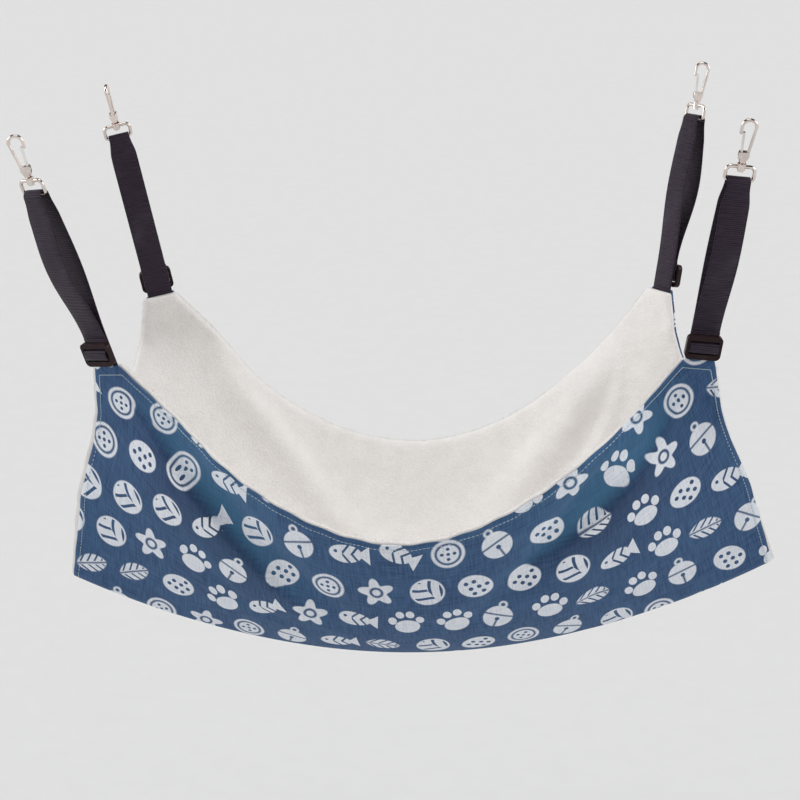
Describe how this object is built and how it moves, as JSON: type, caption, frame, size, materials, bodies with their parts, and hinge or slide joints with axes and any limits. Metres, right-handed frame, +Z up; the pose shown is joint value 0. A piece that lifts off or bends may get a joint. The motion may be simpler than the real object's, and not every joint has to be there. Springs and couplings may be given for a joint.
{
  "type": "cat hammock",
  "caption": "Hanging pet hammock: a plush-lined printed cloth slung by its cut corners from adjustable webbing straps with swivel snap hooks.",
  "frame": {"origin": "middle of the four hook seats, where the hammock is hung from", "axes": "+Z up, +X along the long side to the right as seen from the front, -Y to the front edge"},
  "size_m": [0.5992, 0.3424, 0.4827],
  "materials": {
    "printed_cotton": "woven indigo cotton with a scattered pale print",
    "plush": "short soft pile",
    "webbing": "ribbed woven webbing with a slight sheen",
    "slider_plastic": "moulded, half gloss",
    "nickel": "warm bright nickel plating",
    "bright_steel": "bright plated strip and rivet",
    "spring_steel": "plain drawn wire"
  },
  "bodies": {
    "panel": {"outer_panel": "printed_cotton", "plush_lining": "plush", "front_left_corner_tab": "webbing", "front_right_corner_tab": "webbing", "back_left_corner_tab": "webbing", "back_right_corner_tab": "webbing"},
    "front_left_strap": {"front_left_strap_run": "webbing"},
    "front_left_slider": {"front_left_slider": "slider_plastic", "front_left_strap_return": "webbing"},
    "front_left_bight": {"front_left_strap_bight": "webbing"},
    "front_left_eye": {"front_left_swivel_eye": "nickel"},
    "front_left_hook": {"front_left_snap_hook": "nickel", "front_left_gate_pin": "bright_steel", "front_left_gate_spring": "spring_steel"},
    "front_left_gate": {"front_left_hook_gate": "bright_steel"},
    "front_right_strap": {"front_right_strap_run": "webbing"},
    "front_right_slider": {"front_right_slider": "slider_plastic", "front_right_strap_return": "webbing"},
    "front_right_bight": {"front_right_strap_bight": "webbing"},
    "front_right_eye": {"front_right_swivel_eye": "nickel"},
    "front_right_hook": {"front_right_snap_hook": "nickel", "front_right_gate_pin": "bright_steel", "front_right_gate_spring": "spring_steel"},
    "front_right_gate": {"front_right_hook_gate": "bright_steel"},
    "back_left_strap": {"back_left_strap_run": "webbing"},
    "back_left_slider": {"back_left_slider": "slider_plastic", "back_left_strap_return": "webbing"},
    "back_left_bight": {"back_left_strap_bight": "webbing"},
    "back_left_eye": {"back_left_swivel_eye": "nickel"},
    "back_left_hook": {"back_left_snap_hook": "nickel", "back_left_gate_pin": "bright_steel", "back_left_gate_spring": "spring_steel"},
    "back_left_gate": {"back_left_hook_gate": "bright_steel"},
    "back_right_strap": {"back_right_strap_run": "webbing"},
    "back_right_slider": {"back_right_slider": "slider_plastic", "back_right_strap_return": "webbing"},
    "back_right_bight": {"back_right_strap_bight": "webbing"},
    "back_right_eye": {"back_right_swivel_eye": "nickel"},
    "back_right_hook": {"back_right_snap_hook": "nickel", "back_right_gate_pin": "bright_steel", "back_right_gate_spring": "spring_steel"},
    "back_right_gate": {"back_right_hook_gate": "bright_steel"}
  },
  "joints": [
    {"name": "front_left_strap_fold", "type": "hinge", "parent": "panel", "child": "front_left_strap", "pos_m": [-0.22565, -0.09187, -0.18336], "axis": [0.8466, -0.5087, 0.1563], "range_deg": [-60, 60]},
    {"name": "front_left_slider_slide", "type": "slide", "parent": "front_left_strap", "child": "front_left_slider", "axis": [-0.2565, -0.1328, 0.9574], "range_m": [0, 0.2], "deforming": ["front_left_strap_return"]},
    {"name": "front_left_loop_feed", "type": "slide", "parent": "front_left_strap", "child": "front_left_bight", "axis": [-0.2565, -0.1328, 0.9574], "range_m": [0, 0.1], "deforming": ["front_left_strap_run"]},
    {"name": "front_left_eye_swing", "type": "hinge", "parent": "front_left_bight", "child": "front_left_eye", "pos_m": [-0.26609, -0.11558, -0.04143], "axis": [0.8466, -0.5087, 0.1563], "range_deg": [-75, 75]},
    {"name": "front_left_hook_swivel", "type": "hinge", "parent": "front_left_eye", "child": "front_left_hook", "pos_m": [-0.26879, -0.11698, -0.03138], "axis": [-0.2565, -0.1328, 0.9574], "continuous": true},
    {"name": "front_left_gate_open", "type": "hinge", "parent": "front_left_hook", "child": "front_left_gate", "pos_m": [-0.26904, -0.11803, -0.02305], "axis": [0.0532, -0.9909, -0.1232], "range_deg": [0, 17], "stiffness_Nm_per_rad": 0.03, "springref_deg": -17.19},
    {"name": "front_right_strap_fold", "type": "hinge", "parent": "panel", "child": "front_right_strap", "pos_m": [0.23459, -0.09198, -0.18299], "axis": [0.9861, 0.1036, -0.1296], "range_deg": [-60, 60]},
    {"name": "front_right_slider_slide", "type": "slide", "parent": "front_right_strap", "child": "front_right_slider", "axis": [0.1444, -0.1514, 0.9779], "range_m": [0, 0.2], "deforming": ["front_right_strap_return"]},
    {"name": "front_right_loop_feed", "type": "slide", "parent": "front_right_strap", "child": "front_right_bight", "axis": [0.1444, -0.1514, 0.9779], "range_m": [0, 0.1], "deforming": ["front_right_strap_run"]},
    {"name": "front_right_eye_swing", "type": "hinge", "parent": "front_right_bight", "child": "front_right_eye", "pos_m": [0.25653, -0.11907, -0.03764], "axis": [0.9861, 0.1036, -0.1296], "range_deg": [-75, 75]},
    {"name": "front_right_hook_swivel", "type": "hinge", "parent": "front_right_eye", "child": "front_right_hook", "pos_m": [0.25805, -0.12066, -0.02738], "axis": [0.1444, -0.1514, 0.9779], "continuous": true},
    {"name": "front_right_gate_open", "type": "hinge", "parent": "front_right_hook", "child": "front_right_gate", "pos_m": [0.25734, -0.1219, -0.0191], "axis": [0.0218, 0.9885, 0.1498], "range_deg": [0, 17], "stiffness_Nm_per_rad": 0.03, "springref_deg": -17.19},
    {"name": "back_left_strap_fold", "type": "hinge", "parent": "panel", "child": "back_left_strap", "pos_m": [-0.21664, 0.12612, -0.18564], "axis": [-0.9611, -0.2043, -0.1861], "range_deg": [-60, 60]},
    {"name": "back_left_slider_slide", "type": "slide", "parent": "back_left_strap", "child": "back_left_slider", "axis": [-0.1429, -0.2092, 0.9674], "range_m": [0, 0.2], "deforming": ["back_left_strap_return"]},
    {"name": "back_left_loop_feed", "type": "slide", "parent": "back_left_strap", "child": "back_left_bight", "axis": [-0.1429, -0.2092, 0.9674], "range_m": [0, 0.1], "deforming": ["back_left_strap_run"]},
    {"name": "back_left_eye_swing", "type": "hinge", "parent": "back_left_bight", "child": "back_left_eye", "pos_m": [-0.23906, 0.09922, -0.04033], "axis": [-0.9611, -0.2043, -0.1861], "range_deg": [-75, 75]},
    {"name": "back_left_hook_swivel", "type": "hinge", "parent": "back_left_eye", "child": "back_left_hook", "pos_m": [-0.24056, 0.09703, -0.03017], "axis": [-0.1429, -0.2092, 0.9674], "continuous": true},
    {"name": "back_left_gate_open", "type": "hinge", "parent": "back_left_hook", "child": "back_left_gate", "pos_m": [-0.24178, 0.09718, -0.02187], "axis": [0.9892, 0.001, 0.1463], "range_deg": [0, 17], "stiffness_Nm_per_rad": 0.03, "springref_deg": -17.19},
    {"name": "back_right_strap_fold", "type": "hinge", "parent": "panel", "child": "back_right_strap", "pos_m": [0.22565, 0.12628, -0.18516], "axis": [-0.5876, 0.8088, -0.0224], "range_deg": [-60, 60]},
    {"name": "back_right_slider_slide", "type": "slide", "parent": "back_right_strap", "child": "back_right_slider", "axis": [0.1566, 0.1409, 0.9776], "range_m": [0, 0.2], "deforming": ["back_right_strap_return"]},
    {"name": "back_right_loop_feed", "type": "slide", "parent": "back_right_strap", "child": "back_right_bight", "axis": [0.1566, 0.1409, 0.9776], "range_m": [0, 0.1], "deforming": ["back_right_strap_run"]},
    {"name": "back_right_eye_swing", "type": "hinge", "parent": "back_right_bight", "child": "back_right_eye", "pos_m": [0.25266, 0.14992, -0.04007], "axis": [-0.5876, 0.8088, -0.0224], "range_deg": [-75, 75]},
    {"name": "back_right_hook_swivel", "type": "hinge", "parent": "back_right_eye", "child": "back_right_hook", "pos_m": [0.2543, 0.1514, -0.0298], "axis": [0.1566, 0.1409, 0.9776], "continuous": true},
    {"name": "back_right_gate_open", "type": "hinge", "parent": "back_right_hook", "child": "back_right_gate", "pos_m": [0.2537, 0.15258, -0.02151], "axis": [-0.0088, 0.9899, -0.1412], "range_deg": [0, 17], "stiffness_Nm_per_rad": 0.03, "springref_deg": -17.19}
  ],
  "couplings": [
    {"joint": "front_left_loop_feed", "follows": "front_left_slider_slide", "ratio": 0.5},
    {"joint": "front_right_loop_feed", "follows": "front_right_slider_slide", "ratio": 0.5},
    {"joint": "back_left_loop_feed", "follows": "back_left_slider_slide", "ratio": 0.5},
    {"joint": "back_right_loop_feed", "follows": "back_right_slider_slide", "ratio": 0.5}
  ]
}
